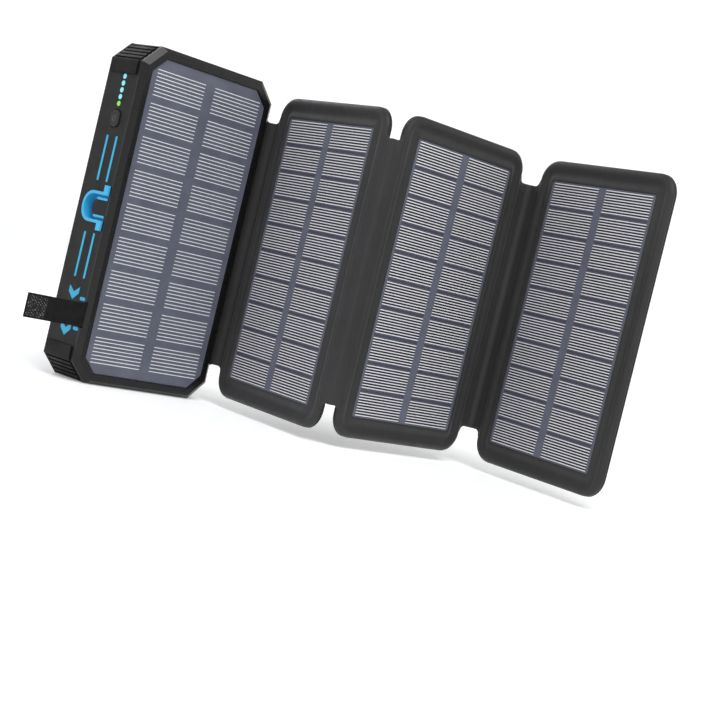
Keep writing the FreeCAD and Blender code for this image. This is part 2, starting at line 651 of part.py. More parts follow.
def panel_front(number):
    """The leather front with its window, and half of each flap."""
    cover = sheet(PANEL_W / 2, PANEL_L / 2, -PANEL_PROUD, 2.2, PANEL_CORNER)
    cover = cover.cut(sheet(PANEL_W / 2 - 2, PANEL_L / 2 - 2, 1.0, 2.3, PANEL_CORNER - 2))
    cover = cover.cut(sheet(35.0, 66.0, 0, 1.1, 1.0))
    cover = cover.cut(sheet(33.5, 63.9, -1, 1.1, 1.5))
    rim = (FOLD_PITCH - PANEL_W) / 2.0
    low, length = MID + PANEL_RISE - FLAP_HALF_L, 2 * FLAP_HALF_L
    feet = {1: hinge_1_foot(), 2: fold_foot(HINGE_BACK), 3: fold_foot(HINGE_FRONT)}
    start = feet[number] + BEND_GAP
    lap = rim + 0.5
    flaps = [Part.makeBox(lap - start, FLAP_T, length, Vec(start, 0.85, low))]
    if number < 3:
        end = FOLD_PITCH - feet[number + 1] - BEND_GAP
        last = FOLD_PITCH - lap
        flaps.append(Part.makeBox(end - last, FLAP_T, length, Vec(last, 0.85, low)))
    return panel_place(join([cover] + flaps), number)


def panel_laminate(number):
    return panel_place(sheet(34.9, 65.9, 0.02, 1.0, 1.0), number)


def panel_board(number):
    return panel_place(sheet(PANEL_W / 2 - 2.2, PANEL_L / 2 - 2.2, 1.0, 2.2, PANEL_CORNER - 2.2), number)


def panel_back(number):
    return panel_place(sheet(PANEL_W / 2, PANEL_L / 2, 2.2, PANEL_BACK, PANEL_CORNER), number)


# ---- strap ----
def webbing(start, end, round_start=True, round_end=True):
    """A length of webbing on its edge between two distances from the centre plane, ends half round."""
    half_w, half_t = STRAP_W / 2.0, STRAP_T / 2.0
    low = start + (half_t if round_start else 0)
    high = end - (half_t if round_end else 0)
    pieces = [block((-high, -low), (STRAP_DEPTH - half_t, STRAP_DEPTH + half_t),
                    (STRAP_Z - half_w, STRAP_Z + half_w))]
    for distance, rounded in ((low, round_start), (high, round_end)):
        if rounded:
            foot = Vec(-distance, y_at(STRAP_DEPTH), STRAP_Z - half_w)
            pieces.append(Part.makeCylinder(half_t, STRAP_W, foot))
    return join(pieces)


def strap_length(index):
    """One of the three lengths, clear of its neighbours when folded square to them."""
    before = STRAP_START + sum(STRAP_LENGTHS[:index])
    last = index == len(STRAP_LENGTHS) - 1
    end = before + STRAP_LENGTHS[index] - (0 if last else BEND_GAP)
    return webbing(before + BEND_GAP, end, True, not last)


def strap_root():
    return webbing(HALF_W - STRAP_ROOT_IN, STRAP_START - BEND_GAP, False, True)


# ---- inside ----
def battery_cells():
    cells = []
    for low in (-70.0, -18.5):
        cell = block((-28.0, 28.0), (5.0, 16.0), (MID + low, MID + low + 50.0))
        cells.append(cell.makeFillet(1.5, [e for e in cell.Edges if e.BoundBox.ZLength > 1]))
    return cells


def circuit_board():
    outline = [(-37.0, 36.0), (27.5, 36.0), (27.5, 72.0), (-27.5, 72.0), (-27.5, 50.0), (-37.0, 50.0)]
    return slab(shifted(outline, 0), 14.4, 16.0)


def button_switch():
    """The tact switch behind the button, with its plunger."""
    x = WALL_X + WALL + 2.1
    base = block((x, x + 1.5), (BUTTON_DEPTH - 3.0, BUTTON_DEPTH + 3.0), (BUTTON_Z - 3.0, BUTTON_Z + 3.0))
    plunger = Part.makeCylinder(1.2, 0.7, Vec(x - 0.7, y_at(BUTTON_DEPTH), BUTTON_Z), Vec(1, 0, 0))
    return join([base, plunger])


def light_board():
    plate = slab(shifted([(21.5, 58.0), (-21.5, 58.0), (-21.5, 66.0), (21.5, 66.0)], LIGHT_CENTRE),
                 BACK - 4.6, BACK - 3.6)
    lamps = [block((LIGHT_CENTRE + dx - 1.4, LIGHT_CENTRE + dx + 1.4), (BACK - 3.7, BACK - 3.0),
                   (MID + 60.6, MID + 63.4)) for dx in (-17.5, -10.5, -3.5, 3.5, 10.5, 17.5)]
    return join([plate] + lamps)


def build():
    nodes = {
        "rear_shell": rear_shell(),
        "front_bezel": front_bezel(),
        "body_laminate": slab(octagon(LAMINATE_HALF_W, LAMINATE_HALF_L, LAMINATE_CUT), 0, LAMINATE_T),
        "corner_trims": group([corner_trim(*c) for c in CORNERS]),
        "corner_pads": group([corner_pad(*c) for c in CORNERS]),
        "grip_trims": group([grip_trim(s) for s in (1, -1)]),
        "grip_pad_right": grip_pad(1),
        "grip_pad_left": grip_pad(-1),
        "cable_tray": cable_tray(),
        "label_trim": label_trim(),
        "light_lens": light_lens(),
        "light_trim": light_trim(),
        "light_board": light_board(),
        "side_inlays": group(side_inlays()),
        "indicator_lenses": group(indicator_lenses()),
        "lanyard_anchor": lanyard_anchor(),
        "anchor_tongue": anchor_tongue(),
        "power_button": power_button(),
        "button_switch": button_switch(),
        "battery_cells": group(battery_cells()),
        "circuit_board": circuit_board(),
        "usb_a_socket": socket(*USB_A, 1.9),
        "usb_c_socket": socket(*USB_C, 0.7),
        "port_cover": port_cover(),
        "case_screws": group(at_screws(case_screw)),
        "lead_roots": group([lead_root(x) for x in LANE_X]),
        "hinge_strip": hinge_strip(),
        "strap_root": strap_root(),
        "strap_base": strap_length(0),
        "strap_middle": strap_length(1),
        "strap_tip": strap_length(2),
    }
    for name, corner in zip(("top_right", "top_left", "bottom_right", "bottom_left"), CORNERS):
        nodes["bumper_" + name] = bumper(*corner)
    for index, x in enumerate(LANE_X):
        nodes["lead_%d" % (index + 1)] = lead(x)
        nodes["plug_%d" % (index + 1)] = plug_housing(index)
        nodes["plug_tip_%d" % (index + 1)] = plug_tip(index)
    for number in (1, 2, 3):
        nodes["panel_%d_front" % number] = panel_front(number)
        nodes["panel_%d_laminate" % number] = panel_laminate(number)
        nodes["panel_%d_board" % number] = panel_board(number)
        nodes["panel_%d_back" % number] = panel_back(number)
    return nodes


if __name__ == "__main__":
    os.makedirs("parts", exist_ok=True)
    for name, shape in sorted(build().items()):
        shape.exportStep("parts/%s.step" % name)
        print(name, len(shape.Solids), round(shape.Volume / 1000.0, 3), shape.isValid())
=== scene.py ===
import math

import bmesh
import bpy
from mathutils import Matrix, Vector


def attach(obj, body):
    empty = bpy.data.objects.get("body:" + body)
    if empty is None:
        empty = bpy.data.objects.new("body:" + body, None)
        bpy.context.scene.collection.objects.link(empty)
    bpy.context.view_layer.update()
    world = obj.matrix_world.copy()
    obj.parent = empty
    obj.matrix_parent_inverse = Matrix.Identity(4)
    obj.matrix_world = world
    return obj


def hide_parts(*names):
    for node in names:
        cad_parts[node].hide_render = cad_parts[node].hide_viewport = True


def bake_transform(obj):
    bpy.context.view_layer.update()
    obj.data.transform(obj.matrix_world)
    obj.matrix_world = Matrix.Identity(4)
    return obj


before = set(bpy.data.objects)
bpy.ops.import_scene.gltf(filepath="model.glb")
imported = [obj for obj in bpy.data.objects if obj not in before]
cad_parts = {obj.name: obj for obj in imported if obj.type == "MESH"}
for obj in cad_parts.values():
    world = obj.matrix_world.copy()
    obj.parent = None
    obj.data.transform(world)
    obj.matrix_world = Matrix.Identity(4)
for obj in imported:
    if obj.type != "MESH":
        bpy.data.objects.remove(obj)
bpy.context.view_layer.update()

MM = 0.001
FACE_Y = -12.35          # row Y of the body's solar face; depths count backwards from it
BACK = 25.5              # depth of the flat back
MID = 78.5               # half of the body's length
WALL_X = -40.6           # the side wall with the indicators
PANEL_Z = 78.85          # centre of the folding panels
FOLD_PITCH = 99.4        # from one fold line to the next along a panel
FOLD_TURN = 99.0         # how far panels 1 and 3 are turned from the body's plane
FOLD_LINE = Vector((44.0, -9.85, 0.0))
PANEL_W, PANEL_L, PANEL_CORNER = 86.0, 148.0, 10.0
FLAP_HALF_L = 60.5


def y_at(depth):
    return FACE_Y + depth


# ---- camera ----
CAMERA_PLACE = (-0.4969, -0.61365, 0.0741)
CAMERA_RIGHT = Vector((0.6735, -0.7007, 0.2354)).normalized()
CAMERA_AHEAD = Vector((0.7278, 0.6843, -0.0454)).normalized()
CAMERA_UP = CAMERA_RIGHT.cross(CAMERA_AHEAD).normalized()
camera_data = bpy.data.cameras.new("camera")
camera_data.lens = 82.5
camera_data.sensor_width = 36.0
camera_data.clip_start = 0.01
camera = bpy.data.objects.new("camera", camera_data)
bpy.context.scene.collection.objects.link(camera)
turn = Matrix((CAMERA_RIGHT, CAMERA_UP, -CAMERA_AHEAD)).transposed().to_4x4()
camera.matrix_world = Matrix.Translation(CAMERA_PLACE) @ turn
bpy.context.scene.camera = camera


# ---- light ----
AIM = (0.03, -0.06, 0.08)


def hang(name, data, heading):
    """A lamp that shines along a heading."""
    lamp = bpy.data.objects.new(name, data)
    bpy.context.scene.collection.objects.link(lamp)
    lamp.rotation_euler = Vector(heading).to_track_quat("-Z", "Y").to_euler()
    return lamp


def area_light(name, place, size, watts):
    data = bpy.data.lights.new(name, "AREA")
    data.shape = "RECTANGLE"
    data.size, data.size_y = size
    data.energy = watts
    hang(name, data, Vector(AIM) - Vector(place)).location = place


def sun_light(name, heading, strength, spread):
    data = bpy.data.lights.new(name, "SUN")
    data.energy = strength
    data.angle = math.radians(spread)
    hang(name, data, heading)


sun_light("sun", (0.3, 0.5, -0.85), 1.7, 40.0)
area_light("key", (-0.45, -1.0, 0.95), (0.5, 0.5), 4.2)
area_light("left", (-1.3, 0.15, 0.6), (0.8, 0.8), 3.0)
area_light("right", (1.2, -0.9, 0.5), (0.5, 1.0), 2.2)
area_light("behind", (0.2, 1.3, 0.9), (1.0, 0.6), 6.0)

# the world lights the object softly and is plain white to the camera
WHITE = (1.0, 1.0, 1.0, 1.0)
world = bpy.data.worlds.new("studio")
world.use_nodes = True
world_nodes, world_links = world.node_tree.nodes, world.node_tree.links
lighting = world_nodes["Background"]
seen = world_nodes.new("ShaderNodeBackground")
for background, strength in ((lighting, 0.3), (seen, 1.0)):
    background.inputs["Color"].default_value = WHITE
    background.inputs["Strength"].default_value = strength
path = world_nodes.new("ShaderNodeLightPath")
mix = world_nodes.new("ShaderNodeMixShader")
world_links.new(path.outputs["Is Camera Ray"], mix.inputs["Fac"])
world_links.new(lighting.outputs[0], mix.inputs[1])
world_links.new(seen.outputs[0], mix.inputs[2])
world_links.new(mix.outputs[0], world_nodes["World Output"].inputs["Surface"])
bpy.context.scene.world = world
bpy.context.scene.view_settings.view_transform = "Standard"


# ---- meshes ----
def mesh_piece(name, points, faces, smooth=True):
    """A mesh object from points in millimetres, its faces turned outwards."""
    mesh = bpy.data.meshes.new(name)
    mesh.from_pydata([Vector(p) * MM for p in points], [], faces)
    build = bmesh.new()
    build.from_mesh(mesh)
    bmesh.ops.recalc_face_normals(build, faces=build.faces)
    build.to_mesh(mesh)
    build.free()
    for face in mesh.polygons:
        face.use_smooth = smooth
    piece = bpy.data.objects.new(name, mesh)
    bpy.context.scene.collection.objects.link(piece)
    return piece


def boxes(name, spans):
    """One mesh of many flat blocks, each from three (low, high) pairs."""
    points, faces = [], []
    for x, y, z in spans:
        n = len(points)
        points += [(x[i], y[j], z[k]) for i in (0, 1) for j in (0, 1) for k in (0, 1)]
        faces += [(n, n + 1, n + 3, n + 2), (n + 4, n + 6, n + 7, n + 5), (n, n + 4, n + 5, n + 1),
                  (n + 2, n + 3, n + 7, n + 6), (n, n + 2, n + 6, n + 4), (n + 1, n + 5, n + 7, n + 3)]
    return mesh_piece(name, points, faces, False)


def ring_faces(start, count, following):
    """Quads between one closed ring of points and another."""
    return [(start + i, start + (i + 1) % count, following + (i + 1) % count, following + i)
            for i in range(count)]


def tube(name, sections):
    """A closed solid through rings of points, with flat ends."""
    count = len(sections[0])
    points = [p for ring in sections for p in ring]
    faces = []
    for i in range(len(sections) - 1):
        faces += ring_faces(i * count, count, (i + 1) * count)
    faces.append(tuple(reversed(range(count))))
    faces.append(tuple(range(len(points) - count, len(points))))
    piece = mesh_piece(name, points, faces)
    for face in piece.data.polygons[len(faces) - 2:]:
        face.use_smooth = False
    for edge in piece.data.edges:
        if max(edge.vertices) < count or min(edge.vertices) >= len(points) - count:
            edge.use_edge_sharp = True
    return piece


def heading_at(path, i):
    """The unit direction of a path of pairs at its point i."""
    before, after = path[max(i - 1, 0)], path[min(i + 1, len(path) - 1)]
    return Vector((after[0] - before[0], after[1] - before[1])).normalized()


def panel_matrix(number):
    """From a panel's own frame, X along it and front to -Y, to the row frame, in metres."""
    start = FOLD_LINE.copy()
    angle = math.radians(FOLD_TURN)
    if number > 1:
        start += Vector((math.cos(angle), -math.sin(angle), 0.0)) * FOLD_PITCH
    if number > 2:
        start += Vector((FOLD_PITCH, 0.0, 0.0))
    return Matrix.Translation(start * MM) @ Matrix.Rotation(0.0 if number == 2 else -angle, 4, "Z")


def bake_place(piece, matrix):
    piece.data.transform(matrix)
    return piece


# ---- finishes ----
NOISE_SPAN = (0.3, 0.7)      # the part of a noise texture's range that holds nearly all of it


def linear(value):
    value /= 255.0
    return value / 12.92 if value <= 0.04045 else ((value + 0.055) / 1.055) ** 2.4


def colour_of(rgb, gain=1.0):
    return tuple(min(1.0, linear(c) * gain) for c in rgb) + (1.0,)


class Finish:
    """A Principled material whose colour, roughness and relief come from procedural textures."""

    def __init__(self, name, space="Object"):
        self.material = bpy.data.materials.new(name)
        self.material.use_nodes = True
        self.nodes = self.material.node_tree.nodes
        self.links = self.material.node_tree.links
        self.shader = self.nodes["Principled BSDF"]
        self.coords = self.nodes.new("ShaderNodeTexCoord").outputs[space]

    def add(self, kind, inputs=(), **settings):
        node = self.nodes.new(kind)
        for key, value in settings.items():
            setattr(node, key, value)
        for key, value in dict(inputs).items():
            if isinstance(value, bpy.types.NodeSocket):
                self.links.new(value, node.inputs[key])
            else:
                node.inputs[key].default_value = value
        return node

    def stretched(self, scale):
        return self.add("ShaderNodeMapping", {"Vector": self.coords, "Scale": scale}).outputs[0]

    def noise(self, scale, detail, vector=None):
        return self.add("ShaderNodeTexNoise", {"Vector": vector or self.coords, "Scale": scale,
                                               "Detail": detail}).outputs[0]

    def cells(self, scale):
        return self.add("ShaderNodeTexVoronoi", {"Vector": self.coords, "Scale": scale}).outputs["Distance"]

    def bands(self, inputs, direction):
        return self.add("ShaderNodeTexWave", inputs, wave_type="BANDS",
                        bands_direction=direction).outputs["Fac"]

    def ramp(self, factor, stops):
        """The base colour, from two (position, colour) stops."""
        node = self.add("ShaderNodeValToRGB", {"Fac": factor})
        for element, (where, colour) in zip(node.color_ramp.elements, stops):
            element.position = where
            element.color = colour
        self.links.new(node.outputs["Color"], self.shader.inputs["Base Color"])

    def tint(self, factor, rgb, spread):
        """The base colour, varied by a share of itself."""
        self.ramp(factor, zip(NOISE_SPAN, (colour_of(rgb, 1.0 - spread), colour_of(rgb, 1.0 + spread))))

    def rough(self, factor, low, high):
        span = self.add("ShaderNodeMapRange", {"Value": factor, "From Min": NOISE_SPAN[0],
                                               "From Max": NOISE_SPAN[1], "To Min": low, "To Max": high})
        self.links.new(span.outputs[0], self.shader.inputs["Roughness"])

    def relief(self, height, strength, distance, over=None):
        """A bump, laid over another one where that is given."""
        inputs = {"Height": height, "Strength": strength, "Distance": distance}
        if over is not None:
            inputs["Normal"] = over
        bump = self.add("ShaderNodeBump", inputs)
        self.links.new(bump.outputs[0], self.shader.inputs["Normal"])
        return bump.outputs[0]

    def sockets(self, **values):
        for key, value in values.items():
            self.shader.inputs[key.replace("_", " ")].default_value = value


def moulded(name, rgb, rough=(0.38, 0.52), grain=2600.0, strength=0.35, spread=0.12, coat=0.0, shine=0.3):
    """Moulded plastic or rubber: a fine spark-eroded grain with faint handling marks."""
    f = Finish(name)
    broad = f.noise(45.0, 4.0)
    f.tint(broad, rgb, spread)
    f.rough(f.noise(160.0, 5.0), *rough)
    wave = f.relief(broad, 0.08, 0.0006)
    f.relief(f.noise(grain, 2.0), strength, 0.00006, wave)
    f.sockets(Coat_Weight=coat, Coat_Roughness=0.2, Specular_IOR_Level=shine)
    return f.material


def metal(name, rgb):
    """Stamped metal, brushed one way."""
    f = Finish(name)
    brushed = f.noise(2400.0, 3.0, f.stretched((1.0, 1.0, 0.08)))
    f.tint(brushed, rgb, 0.12)
    f.rough(f.noise(300.0, 4.0), 0.16, 0.32)
    f.relief(brushed, 0.12, 0.00003)
    f.sockets(Metallic=1.0)
    return f.material


def leather(name, rgb):
    """Smooth coated leather: a fine pebble, slow colour changes and a soft sheen."""
    f = Finish(name)
    broad = f.noise(28.0, 5.0)
    f.tint(broad, rgb, 0.15)
    f.rough(f.noise(210.0, 4.0), 0.44, 0.6)
    pebble = f.relief(f.cells(1500.0), 0.22, 0.00012)
    f.relief(f.noise(90.0, 5.0), 0.12, 0.0006, pebble)
    f.sockets(Sheen_Weight=0.12, Sheen_Roughness=0.45, Specular_IOR_Level=0.25)
    return f.material


def glazed(name, rgb, spread=0.1, mottle=130.0, coat=0.2):
    """Printed cells under a clear, faintly rippled film."""
    f = Finish(name)
    f.tint(f.noise(mottle, 6.0), rgb, spread)
    f.rough(f.noise(60.0, 3.0), 0.3, 0.42)
    f.relief(f.noise(34.0, 2.0), 0.05, 0.0008)
    f.sockets(Coat_Weight=coat, Coat_Roughness=0.12, Specular_IOR_Level=0.3)
    return f.material


def glowing(name, rgb, glow_rgb, strength):
    """A clear plastic light guide lit from behind."""
    f = Finish(name)
    f.tint(f.noise(500.0, 3.0), rgb, 0.06)
    f.rough(f.noise(700.0, 3.0), 0.2, 0.34)
    f.relief(f.noise(1200.0, 2.0), 0.1, 0.00004)
    f.sockets(Emission_Color=colour_of(glow_rgb), Emission_Strength=strength)
    return f.material


def webbing(name, rgb):
    """Narrow woven tape: cross ribs and twisted yarn, laid out by the strap's own UV map."""
    f = Finish(name, "UV")
    f.tint(f.noise(220.0, 4.0), rgb, 0.35)
    f.rough(f.noise(180.0, 3.0), 0.7, 0.9)
    ribs = f.bands({"Vector": f.coords, "Scale": 330.0, "Distortion": 1.2, "Detail": 2.0,
                    "Detail Scale": 4.0}, "X")
    coarse = f.relief(ribs, 0.5, 0.00015)
    f.relief(f.noise(2600.0, 2.0), 0.3, 0.00006, coarse)
    f.sockets(Sheen_Weight=0.04, Sheen_Roughness=0.5, Specular_IOR_Level=0.12)
    return f.material


def hooks_with_painted_glints(name):
    """Short nylon hooks on a black ground, with a painted highlight: pale glints on the hook tips in
    crossing rows.
    """
    f = Finish(name)
    rows = [f.bands({"Vector": f.stretched((side, 1.0, 1.0)), "Scale": 400.0, "Distortion": 1.5,
                     "Detail": 1.0, "Detail Scale": 3.0}, "DIAGONAL") for side in (1.0, -1.0)]
    crossing = f.add("ShaderNodeMath", {0: rows[0], 1: rows[1]}, operation="MAXIMUM").outputs["Value"]
    painted_glint_mask = f.add("ShaderNodeMath", {0: crossing, 1: f.noise(1500.0, 2.0)}, operation="MULTIPLY")
    # painted highlight: the pale stop stands for glints on the hook tips, the black stop is the hooks' own
    # colour
    f.ramp(painted_glint_mask.outputs["Value"], ((0.5, colour_of((10, 10, 11))), (0.6, colour_of((170, 170, 170)))))
    f.rough(f.noise(600.0, 3.0), 0.45, 0.7)
    f.relief(f.noise(3000.0, 2.0), 0.3, 0.00006)
    return f.material


CHARCOAL = (22, 22, 23)
finishes = {
    "housing": moulded("housing_finish", CHARCOAL, (0.42, 0.58), shine=0.22),
    "bezel": moulded("bezel_finish", (14, 14, 15), (0.24, 0.36), strength=0.2, shine=0.35),
    "bumper": moulded("bumper_finish", (10, 10, 11), (0.5, 0.66), grain=1700.0, strength=0.5, shine=0.2),
    "trim": moulded("trim_finish", (48, 158, 214), (0.3, 0.42), spread=0.08, coat=0.2),
    "inlay": moulded("inlay_finish", (44, 160, 200), (0.32, 0.45), spread=0.06),
    "anchor": moulded("anchor_finish", (54, 162, 210), (0.32, 0.45), spread=0.08, coat=0.1),
    "button": moulded("button_finish", (24, 24, 26), (0.3, 0.4), strength=0.2),
    "mark": moulded("mark_finish", (186, 188, 190), (0.45, 0.6), grain=1800.0, spread=0.08),
    "symbol": moulded("symbol_finish", (84, 86, 90), (0.4, 0.5)),
    "pin": moulded("pin_finish", (14, 14, 15), (0.3, 0.5)),
    "jacket": moulded("jacket_finish", (28, 28, 30), (0.4, 0.55), grain=1500.0, strength=0.3),
    "plug": moulded("plug_finish", (46, 46, 48), (0.35, 0.5), coat=0.1),
    "board_green": moulded("board_green_finish", (22, 92, 60), (0.3, 0.45), grain=900.0),
    "foil": moulded("foil_finish", (70, 82, 128), (0.25, 0.4), grain=300.0),
    "switch": moulded("switch_finish", (150, 150, 150), (0.3, 0.4)),
    "stiffener": moulded("stiffener_finish", (84, 70, 52), (0.7, 0.85), grain=600.0, spread=0.25),
    "leather": leather("leather_finish", (42, 42, 43)),
    "laminate": glazed("laminate_finish", (88, 91, 104)),
    "cell": glazed("cell_finish", (26, 26, 33), 0.35, 900.0, 0.08),
    "gap": glazed("gap_finish", (66, 67, 79), 0.4, 2200.0, 0.1),
    "finger": glazed("finger_finish", (216, 216, 221), 0.08, 600.0, 0.1),
    "tip": metal("tip_finish", (214, 214, 219)),
    "steel": metal("steel_finish", (170, 172, 176)),
    "gold": metal("gold_finish", (196, 174, 104)),
    "lamp": glowing("lamp_finish", (240, 244, 248), (248, 252, 255), 3.2),
    "cyan": glowing("cyan_finish", (120, 200, 208), (96, 206, 218), 0.25),
    "green": glowing("green_finish", (118, 190, 66), (120, 200, 62), 0.28),
    "webbing": webbing("webbing_finish", (20, 20, 21)),
    "hooks": hooks_with_painted_glints("hooks_finish"),
}


def paint(piece, finish):
    piece.data.materials.clear()
    piece.data.materials.append(finishes[finish])
    return piece


NODE_FINISHES = {
    "rear_shell": "housing", "front_bezel": "bezel", "body_laminate": "laminate", "corner_trims": "trim",
    "grip_trims": "trim", "cable_tray": "trim", "label_trim": "trim", "light_trim": "trim",
    "anchor_tongue": "housing", "lanyard_anchor": "anchor", "side_inlays": "inlay",
    "light_lens": "lamp", "light_board": "board_green", "circuit_board": "board_green",
    "battery_cells": "foil", "power_button": "button", "button_switch": "switch",
    "usb_a_socket": "steel", "usb_c_socket": "steel", "port_cover": "bumper", "case_screws": "steel",
    "indicator_lenses": "cyan",
}
for side in ("top_left", "top_right", "bottom_left", "bottom_right"):
    NODE_FINISHES["bumper_" + side] = "bumper"
for number in (1, 2, 3, 4):
    NODE_FINISHES["plug_%d" % number] = "plug"
    NODE_FINISHES["plug_tip_%d" % number] = "gold" if number == 4 else "tip"
for number in (1, 2, 3):
    NODE_FINISHES["panel_%d_laminate" % number] = "laminate"
    NODE_FINISHES["panel_%d_board" % number] = "stiffener"
for node, finish in NODE_FINISHES.items():
    for material_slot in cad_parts[node].material_slots:
        material_slot.material = finishes[finish]

# the lowest of the five indicators is green
LOWEST_LENS_Z = MID + 48.9
LENS_REACH = 1.5         # past the lens's radius of 1.2, and short of the next lens
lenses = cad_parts["indicator_lenses"].data
lenses.materials.append(finishes["green"])
for face in lenses.polygons:
    if face.center.z < (LOWEST_LENS_Z + LENS_REACH) * MM:
        face.material_index = len(lenses.materials) - 1


# ---- solar cells ----
CELL_PROUD = 0.012
LINE_PROUD = 0.03
CELL_SINK = 0.1
GAP_BAND = 1.3           # width of the mottled band between two cell rows
PANEL_FACE_Y = 0.02      # a panel's solar face in its own frame
# columns, top line, rows, pitch of the rows, lines in a row, their spacing, their width
BODY_GRID = ([(-31.9, -3.0), (3.0, 31.9)], MID + 68.0, 9, 15.59, 8, 1.66, 0.38)
PANEL_GRID = ([(17.65, 47.25), (52.15, 81.75)], PANEL_Z + 63.0, 10, 12.87, 9, 1.27, 0.46)


def cell_spans(columns, top, rows, pitch, lines, spacing, width, front):
    """Each cell's dark field, the printed silver lines across it, and the bands between rows."""
    fields, strips, gaps = [], [], []
    for row in range(rows):
        for column in columns:
            upper = top - row * pitch
            bottom = upper - (lines - 1) * spacing
            fields.append((column, (front - CELL_PROUD, front + CELL_SINK), (bottom - width, upper + width)))
            if row < rows - 1:
                middle = bottom - (pitch - (lines - 1) * spacing) / 2
                gaps.append((column, (front - CELL_PROUD / 2, front + CELL_SINK),
                             (middle - GAP_BAND / 2, middle + GAP_BAND / 2)))
            for k in range(lines):
                z = upper - k * spacing
                strips.append((column, (front - LINE_PROUD, front + CELL_SINK),
                               (z - width / 2, z + width / 2)))
    return fields, strips, gaps


_, strips, _ = cell_spans(*BODY_GRID, FACE_Y)
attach(paint(boxes("body_cell_lines", strips), "finger"), "housing")

fields, strips, gaps = cell_spans(*PANEL_GRID, PANEL_FACE_Y)
for number in (1, 2, 3):
    for part, spans, finish in (("cells", fields, "cell"), ("cell_lines", strips, "finger"),
                                ("cell_gaps", gaps, "gap")):
        piece = bake_place(boxes("panel_%d_%s" % (number, part), spans), panel_matrix(number))
        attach(paint(piece, finish), "panel_%d" % number)


# ---- padded leather covers ----
SIDE_MARGIN = 0.945      # the rims along the sides are this much narrower than at the ends
SMALLEST_CORNER = 1.2
ARC_STEPS = 7
SIDE_STEPS = 22
END_STEPS = 13


def rounded_ring(inset, y):
    """A ring parallel to the panel's outline, always with the same number of points."""
    half_w, half_l = PANEL_W / 2 - inset * SIDE_MARGIN, PANEL_L / 2 - inset
    radius = min(max(PANEL_CORNER - inset, SMALLEST_CORNER), half_w, half_l)
    cx, cz = half_w - radius, half_l - radius
    corners = []
    for sx, sz, start in ((1, 1, 0.0), (-1, 1, 90.0), (-1, -1, 180.0), (1, -1, 270.0)):
        corners.append([(sx * cx + radius * math.cos(math.radians(start + 90.0 * i / ARC_STEPS)),
                         sz * cz + radius * math.sin(math.radians(start + 90.0 * i / ARC_STEPS)))
                        for i in range(ARC_STEPS + 1)])
    flat = []
    for i, corner in enumerate(corners):
        flat += corner
        steps = END_STEPS if i % 2 == 0 else SIDE_STEPS
        first, last = corner[-1], corners[(i + 1) % 4][0]
        flat += [(first[0] + (last[0] - first[0]) * k / steps, first[1] + (last[1] - first[1]) * k / steps)
                 for k in range(1, steps)]
    return [(FOLD_PITCH / 2 + a, y, PANEL_Z + b) for a, b in flat]


# inset from the panel's outline and height, from the window's inner edge round the rim to the seam
FRONT_PROFILE = [(10.4, 0.9), (10.2, 0.45), (10.05, 0.06), (9.85, -0.18), (9.4, -0.3), (8.7, -0.2),
                 (7.7, 0.1), (6.7, 0.42), (5.6, 0.46), (4.6, 0.14), (3.7, -0.3), (2.8, -0.58), (1.9, -0.6),
                 (1.1, -0.36), (0.4, 0.3), (0.0, 1.2), (0.1, 1.8), (0.45, 2.14), (1.0, 2.2), (4.0, 2.2),
                 (9.6, 2.2)]
REAR_PROFILE = [(0.5, 2.22), (0.12, 2.4), (0.0, 2.7), (0.25, 2.98), (0.9, 3.12), (2.0, 3.17), (3.2, 3.02),
                (4.0, 2.86), (4.8, 3.02), (6.5, 3.12), (9.0, 3.16), (14.0, 3.19), (20.0, 3.2), (28.0, 3.2),
                (36.0, 3.2), (41.5, 3.2)]


def cover(name, profile, window):
    """A cover lofted through rings: closed on itself round a window, or with a whole face on both sides."""
    rings = [rounded_ring(*step) for step in profile]
    count = len(rings[0])
    points = [p for ring in rings for p in ring]
    faces = []
    for i in range(len(rings) if window else len(rings) - 1):
        faces += ring_faces(i * count, count, ((i + 1) % len(rings)) * count)
    if not window:
        faces.append(tuple(range(len(points) - count, len(points))))
        faces.append(tuple(reversed(range(count))))
    return mesh_piece(name, points, faces)


PRESSURE = 4.0
SIM_FRAMES = 20
FRONT_SWELL = 0.3        # the furthest a point may move, millimetres
REAR_SWELL = 0.18
CROWN = (2.0, 9.6)       # where the front rim may swell, inset from the panel's outline
CROWN_BACK = 0.6         # nothing further back than this moves
REAR_FROM = 4.4          # the rear cover may swell this far inside the outline
REAR_EASE = 8.0          # and fully only this much further in
REAR_FRONT = 2.9         # nothing in front of this moves


def inflate(piece, free, swell):
    """Pads a cover: cloth under a little pressure, held where free() is 0, with its movement capped."""
    rest = [vertex.co.copy() for vertex in piece.data.vertices]
    held = piece.vertex_groups.new(name="held")
    for vertex in piece.data.vertices:
        held.add([vertex.index], 1.0 - free(vertex.co / MM), "REPLACE")
    cloth = piece.modifiers.new("padding", "CLOTH")
    cloth.settings.quality = 5
    cloth.settings.mass = 0.3
    cloth.settings.use_pressure = True
    cloth.settings.uniform_pressure_force = PRESSURE
    cloth.settings.vertex_group_mass = "held"
    cloth.settings.pin_stiffness = 2.0
    cloth.settings.effector_weights.gravity = 0.0
    cloth.collision_settings.use_collision = False
    cloth.point_cache.frame_start = 1
    cloth.point_cache.frame_end = SIM_FRAMES
    for step in range(1, SIM_FRAMES + 1):
        bpy.context.scene.frame_set(step)
    moved = piece.evaluated_get(bpy.context.evaluated_depsgraph_get()).to_mesh()
    swollen = [vertex.co.copy() for vertex in moved.vertices]
    piece.modifiers.remove(cloth)
    piece.vertex_groups.remove(held)
    bpy.context.scene.frame_set(1)
    for vertex, before, after in zip(piece.data.vertices, rest, swollen):
        step = (after - before) * free(before / MM)
        if step.length > swell * MM:
            step = step.normalized() * swell * MM
        vertex.co = before + step


